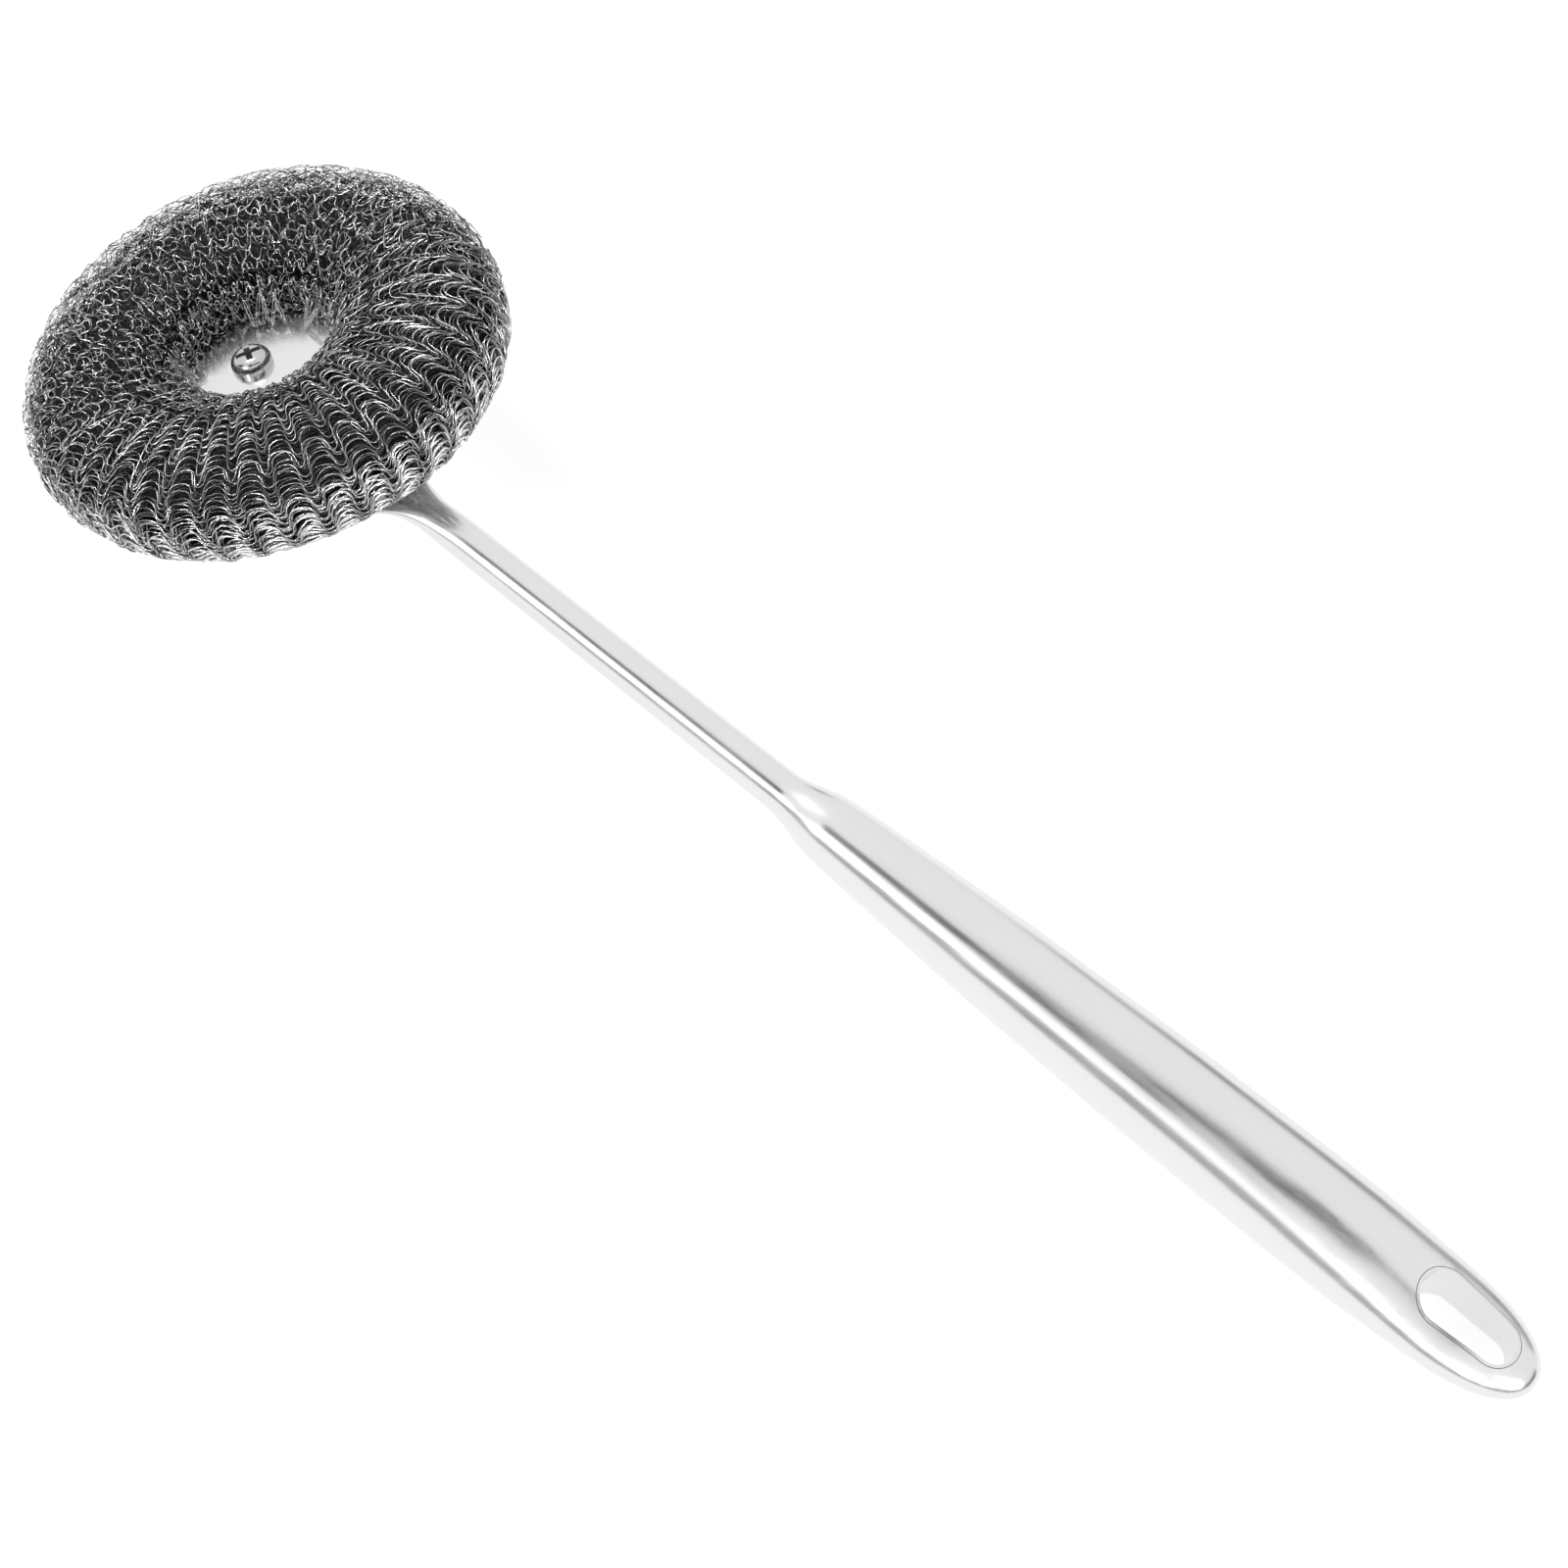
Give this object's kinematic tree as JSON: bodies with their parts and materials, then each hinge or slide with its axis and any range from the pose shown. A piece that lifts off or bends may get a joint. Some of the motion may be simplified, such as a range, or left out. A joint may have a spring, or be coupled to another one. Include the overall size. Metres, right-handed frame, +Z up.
{
  "type": "steel dish brush",
  "caption": "Long-handled dish scourer: a knitted steel wire ring clamped by a screw and plate to the angled end of a hollow pressed steel handle with a hanging slot.",
  "frame": {"origin": "on the floor, under the middle of the bounding box, with the brush lying on the far rim of its scourer and the end of its grip", "axes": "+X along the handle from the scourer to the grip's end, +Y across it, +Z up, with the working face up"},
  "size_m": [0.3578, 0.099, 0.0625],
  "materials": {
    "satin_steel": "satin",
    "knitted_wire": "satin",
    "polished_steel": "polished",
    "bright_fastener": "polished"
  },
  "bodies": {
    "root": {"handle_top_shell": "satin_steel", "handle_bottom_shell": "satin_steel", "hang_slot_liner": "satin_steel", "back_plate": "satin_steel", "scourer": "knitted_wire", "clamp_plate": "polished_steel", "clamp_screw": "bright_fastener", "rear_washer": "bright_fastener", "rear_nut": "bright_fastener"}
  },
  "joints": []
}
